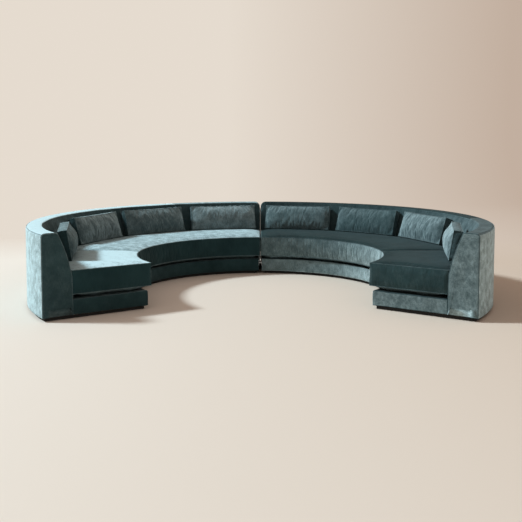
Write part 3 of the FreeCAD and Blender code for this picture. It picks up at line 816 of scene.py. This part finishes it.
# Velvet: a ground between two dark colours, and a pale tint mixed into the colour as painted sheen, stronger
# at grazing angles and scaled by each patch's painted share
def velvet(name, deep, pale, tint):
    made, tree, shader = material(name)
    cloth = tree.nodes.new("ShaderNodeUVMap")
    cloth.uv_map = "cloth"
    coordinates = tree.nodes.new("ShaderNodeTexCoord").outputs["Object"]
    nap_lean = tree.nodes.new("ShaderNodeAttribute")
    nap_lean.attribute_name = "nap"
    surface = tree.nodes.new("ShaderNodeNewGeometry").outputs["Normal"]
    streaks = noise_node(tree, mapped(tree, cloth.outputs["UV"], (55, 4, 1)), 1.0, 4.0)
    brushed = noise_node(tree, coordinates, 3.5, 2.0)
    strength = ranged(tree, streaks, 0.3, 0.7, 0.6, 1.4)
    scaled = tree.nodes.new("ShaderNodeVectorMath")
    scaled.operation = "SCALE"
    tree.links.new(nap_lean.outputs["Vector"], scaled.inputs[0])
    tree.links.new(strength, scaled.inputs["Scale"])
    leaning = vector_math(tree, "NORMALIZE", vector_math(tree, "ADD", surface, scaled.outputs["Vector"]))
    bump = tree.nodes.new("ShaderNodeBump")
    bump.inputs["Strength"].default_value = 0.5
    bump.inputs["Distance"].default_value = 0.003
    tree.links.new(streaks, bump.inputs["Height"])
    tree.links.new(leaning, bump.inputs["Normal"])
    pile = tree.nodes.new("ShaderNodeBump")
    pile.inputs["Strength"].default_value = 0.4
    pile.inputs["Distance"].default_value = 0.0006
    tree.links.new(noise_node(tree, coordinates, 700.0, 2.0), pile.inputs["Height"])
    tree.links.new(bump.outputs["Normal"], pile.inputs["Normal"])
    tree.links.new(pile.outputs["Normal"], shader.inputs["Normal"])
    facing = tree.nodes.new("ShaderNodeLayerWeight")
    facing.inputs["Blend"].default_value = 0.5
    tree.links.new(pile.outputs["Normal"], facing.inputs["Normal"])
    painted_sheen_share = tree.nodes.new("ShaderNodeAttribute")
    painted_sheen_share.attribute_name = "bloom"
    marks = ranged(tree, noise_node(tree, coordinates, 14.0, 7.0), 0.36, 0.66, 0.72, 1.28)
    threads = noise_node(tree, mapped(tree, cloth.outputs["UV"], (160, 30, 1)), 1.0, 5.0)
    fine = ranged(tree, threads, 0.3, 0.7, 0.65, 1.35)
    specks = ranged(tree, noise_node(tree, coordinates, 130.0, 4.0), 0.3, 0.7, 0.75, 1.25)
    # Painted sheen: the facing of the leaned surface, with random marks, times each face's painted share,
    # sets how much pale tint goes into the colour
    edge = ranged(tree, facing.outputs["Facing"], 0.2, 0.9, 0.25, 1.0)
    bloom = tree.nodes.new("ShaderNodeMath")
    bloom.operation = "MULTIPLY"
    tree.links.new(times(tree, edge, marks, fine, specks), bloom.inputs[0])
    tree.links.new(painted_sheen_share.outputs["Fac"], bloom.inputs[1])
    bloom.use_clamp = True
    ground = mixed(tree, ranged(tree, brushed, 0.35, 0.65, 0, 1), deep, pale)
    sheen = tree.nodes.new("ShaderNodeMix")
    sheen.data_type = "RGBA"
    tree.links.new(bloom.outputs[0], sheen.inputs["Factor"])
    tree.links.new(ground, sheen.inputs["A"])
    sheen.inputs["B"].default_value = (*tint, 1)
    tree.links.new(sheen.outputs["Result"], shader.inputs["Base Color"])
    shader.inputs["Roughness"].default_value = 0.85
    shader.inputs["Specular IOR Level"].default_value = 0.12
    shader.inputs["Sheen Weight"].default_value = 0.05
    shader.inputs["Sheen Roughness"].default_value = 0.4
    shader.inputs["Sheen Tint"].default_value = (*tint, 1)
    return made


# A surface between two colours, with a grain of its own scale along each axis
def plain(name, one, two, scale, roughness, metallic=0.0):
    made, tree, shader = material(name)
    coordinates = tree.nodes.new("ShaderNodeTexCoord").outputs["Object"]
    grain = noise_node(tree, mapped(tree, coordinates, scale), 1.0, 5.0)
    tree.links.new(mixed(tree, ranged(tree, grain, 0.35, 0.65, 0, 1), one, two), shader.inputs["Base Color"])
    uneven = ranged(tree, grain, 0.3, 0.7, roughness - 0.08, roughness + 0.08)
    tree.links.new(uneven, shader.inputs["Roughness"])
    shader.inputs["Metallic"].default_value = metallic
    bump = tree.nodes.new("ShaderNodeBump")
    bump.inputs["Strength"].default_value = 0.3
    bump.inputs["Distance"].default_value = 0.0003
    tree.links.new(grain, bump.inputs["Height"])
    tree.links.new(bump.outputs["Normal"], shader.inputs["Normal"])
    return made


VELVET = velvet("velvet", (0.007, 0.026, 0.030), (0.013, 0.040, 0.045), (0.54, 0.72, 0.77))

MATERIALS = {
    "plinth": plain("plinth_paint", (0.006, 0.006, 0.006), (0.012, 0.011, 0.010), (40, 40, 9), 0.85),
    "dust_cloth": plain("dust_cloth", (0.012, 0.012, 0.012), (0.022, 0.022, 0.022), (400, 400, 400), 0.9),
    "glides": plain("glide_nylon", (0.04, 0.04, 0.04), (0.05, 0.05, 0.05), (90, 90, 90), 0.5),
    "plywood": plain("plywood", (0.52, 0.36, 0.20), (0.66, 0.50, 0.31), (9, 9, 70), 0.6),
    "spring_steel": plain("spring_steel", (0.30, 0.31, 0.33), (0.42, 0.43, 0.45), (60, 60, 60), 0.35, 1.0),
    "zinc_steel": plain("zinc_steel", (0.55, 0.56, 0.58), (0.66, 0.67, 0.69), (60, 60, 60), 0.3, 1.0),
}

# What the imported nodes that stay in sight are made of
NODE_FINISH = {
    "plinth": "plinth",
    "glides": "glides",
    "base_rails": "plywood",
    "base_cross_rails": "plywood",
    "back_ribs": "plywood",
    "back_bottom_rails": "plywood",
    "back_top_rail": "plywood",
    "back_panel": "plywood",
    "seat_springs": "spring_steel",
    "spring_clips": "zinc_steel",
    "frame_bolts": "zinc_steel",
    "joint_sockets": "zinc_steel",
    "joint_tongues": "zinc_steel",
}

# Share of painted sheen on the piping: a painted highlight, paler on the left
SEAM_PAINTED_SHEEN = {"left": 0.45, "right": 0.3}


def finish_piece(piece, made, body):
    piece.data.materials.clear()
    piece.data.materials.append(made)
    # Piping gets its share of painted sheen
    if "_seam" in piece.name:
        painted_sheen_share = piece.data.attributes.new("bloom", "FLOAT", "FACE")
        painted_sheen_share.data.foreach_set("value", [SEAM_PAINTED_SHEEN[piece.name.split("_")[0]]] * len(piece.data.polygons))
    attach(piece, body)


def pipe_seams(body, lines, radius):
    for number, line in enumerate(lines):
        seam = piping(f"{body}_seam_{number + 1}", line, radius, closed=True)
        finish_piece(seam, VELVET, body)


# Seat cushions as start and end in degrees and the cell of their cloth; radii of the piping
CUSHIONS = {
    "long": (0.1, CUSHION_SEAM_ANGLE - 0.11, 0.011),
    "end": (CUSHION_SEAM_ANGLE + 0.11, WRAP - 0.02, 0.009),
}
BACK_PIPING = 0.0032
CUSHION_PIPING = 0.003
PILLOW_PIPING = 0.0028

for label, side in SIDES.items():
    section = f"{label}_section"
    back, top_seam, end_seams = back_upholstery(side, label)
    finish_piece(back, VELVET, section)
    lay_nap_and_painted_sheen(back, "back", side)
    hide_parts(f"{label}_back_cover", f"{label}_back_foam", f"{label}_back_webbing")
    seams = [piping(f"{label}_back_top_seam", top_seam, BACK_PIPING)]
    for number, line in enumerate(end_seams):
        seams.append(piping(f"{label}_back_end_seam_{number + 1}", line, BACK_PIPING))
    for seam in seams:
        finish_piece(seam, VELVET, section)
    base = base_upholstery(side, label)
    finish_piece(base, VELVET, section)
    lay_nap_and_painted_sheen(base, "base", side)
    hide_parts(f"{label}_base_cover", f"{label}_deck_pad")
    cloth = dust_cloth(side, label)
    finish_piece(cloth, MATERIALS["dust_cloth"], section)
    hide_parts(f"{label}_dust_cover")
    for name, (start, end, cell) in CUSHIONS.items():
        cushion = seat_cushion(side, label, name, start, end, cell)
        lines = seam_lines(cushion, (TOP, BOTTOM))
        finish_piece(cushion, VELVET, f"{label}_{name}_cushion")
        lay_nap_and_painted_sheen(cushion, "cushion", side)
        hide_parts(f"{label}_{name}_cushion_cover", f"{label}_{name}_cushion_core")
        pipe_seams(f"{label}_{name}_cushion", lines, CUSHION_PIPING)
    for name in PILLOWS:
        pillow = back_pillow(side, label, name)
        lines = seam_lines(pillow, (FRONT, REAR))
        finish_piece(pillow, VELVET, f"{label}_{name}_pillow")
        lay_nap_and_painted_sheen(pillow, "pillow", side)
        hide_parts(f"{label}_{name}_pillow_cover", f"{label}_{name}_pillow_filling")
        pipe_seams(f"{label}_{name}_pillow", lines, PILLOW_PIPING)

for name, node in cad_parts.items():
    finish = NODE_FINISH.get(name.split("_", 1)[1])
    if finish:
        node.data.materials.clear()
        node.data.materials.append(MATERIALS[finish])


# Floor and backdrop: one sheet that curves up far behind the sofa
FLOOR_START = -14.0
FLOOR_END = 10.0
COVE_RADIUS = 2.0
WALL_HEIGHT = 14.0
HALF_WIDTH = 16
BACKDROP = (0.785, 0.71, 0.625)


def studio():
    rows = []
    profile = [(FLOOR_START, 0.0), (FLOOR_END, 0.0)]
    for turn in spread(0, 90, 16):
        curve = math.radians(turn)
        profile.append((FLOOR_END + COVE_RADIUS * math.sin(curve), COVE_RADIUS * (1 - math.cos(curve))))
    profile.append((FLOOR_END + COVE_RADIUS, WALL_HEIGHT))
    for x in spread(-HALF_WIDTH, HALF_WIDTH, 4):
        rows.append([Vector((x, y, z)) for y, z in profile])
    points = [point for row in rows for point in row]
    width = len(profile)
    faces = []
    for i in range(len(rows) - 1):
        for j in range(width - 1):
            a = i * width + j
            faces.append((a, a + width, a + width + 1, a + 1))
    mesh = bpy.data.meshes.new("studio")
    mesh.from_pydata(points, [], faces)
    mesh.shade_smooth()
    sheet = bpy.data.objects.new("studio", mesh)
    scene.collection.objects.link(sheet)
    made, tree, shader = material("studio")
    coordinates = tree.nodes.new("ShaderNodeTexCoord").outputs["Object"]
    parts = tree.nodes.new("ShaderNodeSeparateXYZ")
    tree.links.new(coordinates, parts.inputs["Vector"])
    # Floor colour runs from light on the left to darker on the right: painted light falloff from the key on
    # the left
    floor_painted_falloff = ranged(tree, parts.outputs["X"], -3.0, 3.0, 0, 1)
    colour = mixed(tree, floor_painted_falloff, (0.88, 0.83, 0.76), (0.62, 0.51, 0.42))
    # Far behind, camera rays see a glow in the backdrop colour, darker to the right: painted light falloff
    backdrop_painted_falloff = ranged(tree, parts.outputs["X"], -0.8, 6.1, 0, 1)
    far = mixed(tree, backdrop_painted_falloff, BACKDROP, (0.54, 0.43, 0.35))
    tree.links.new(colour, shader.inputs["Base Color"])
    shader.inputs["Roughness"].default_value = 0.9
    shader.inputs["Specular IOR Level"].default_value = 0.1
    glow = tree.nodes.new("ShaderNodeEmission")
    tree.links.new(far, glow.inputs["Color"])
    seen = tree.nodes.new("ShaderNodeLightPath").outputs["Is Camera Ray"]
    behind = ranged(tree, parts.outputs["Y"], 1.8, 4.0, 0, 1)
    mix = tree.nodes.new("ShaderNodeMixShader")
    tree.links.new(times(tree, seen, behind), mix.inputs["Fac"])
    tree.links.new(shader.outputs[0], mix.inputs[1])
    tree.links.new(glow.outputs[0], mix.inputs[2])
    output = tree.nodes["Material Output"]
    tree.links.new(mix.outputs[0], output.inputs["Surface"])
    mesh.materials.append(made)


studio()

# Light: a soft sun from the left, a little behind, and an even fill; the camera sees the backdrop's colour
TOWARDS_SUN = Vector((-0.73, 0.04, 0.68))
sun = bpy.data.lights.new("key", "SUN")
sun.energy = 3.2
sun.angle = math.radians(9)
sun.color = (0.80, 0.94, 1.0)
key = bpy.data.objects.new("key", sun)
key.rotation_mode = "QUATERNION"
key.rotation_quaternion = TOWARDS_SUN.to_track_quat("Z", "Y")
scene.collection.objects.link(key)
world = bpy.data.worlds.new("fill")
world.use_nodes = True
world.node_tree.nodes["Background"].inputs["Color"].default_value = (1.0, 0.84, 0.75, 1)
world.node_tree.nodes["Background"].inputs["Strength"].default_value = 0.46
scene.world = world
air = world.node_tree
backdrop = air.nodes.new("ShaderNodeBackground")
backdrop.inputs["Color"].default_value = (*BACKDROP, 1)
path = air.nodes.new("ShaderNodeLightPath")
either = path.outputs["Is Camera Ray"]
for ray in ("Is Glossy Ray", "Is Transmission Ray"):
    both = air.nodes.new("ShaderNodeMath")
    both.operation = "MAXIMUM"
    air.links.new(either, both.inputs[0])
    air.links.new(path.outputs[ray], both.inputs[1])
    either = both.outputs[0]
blend = air.nodes.new("ShaderNodeMixShader")
air.links.new(either, blend.inputs["Fac"])
air.links.new(air.nodes["Background"].outputs[0], blend.inputs[1])
air.links.new(backdrop.outputs[0], blend.inputs[2])
air.links.new(blend.outputs[0], air.nodes["World Output"].inputs["Surface"])
scene.view_settings.view_transform = "Standard"

# Camera at the photograph's angle
CAMERA_DISTANCE = 7.9105
CAMERA_HEIGHT = 1.5336
CAMERA_PITCH = 8.66
lens = bpy.data.cameras.new("camera")
lens.sensor_width = 36
lens.lens = 56.29
lens.shift_x = 0.00138
camera = bpy.data.objects.new("camera", lens)
camera.location = (0, CENTRE_Y - CAMERA_DISTANCE, CAMERA_HEIGHT)
camera.rotation_euler = (math.radians(90 - CAMERA_PITCH), 0, 0)
scene.collection.objects.link(camera)
scene.camera = camera
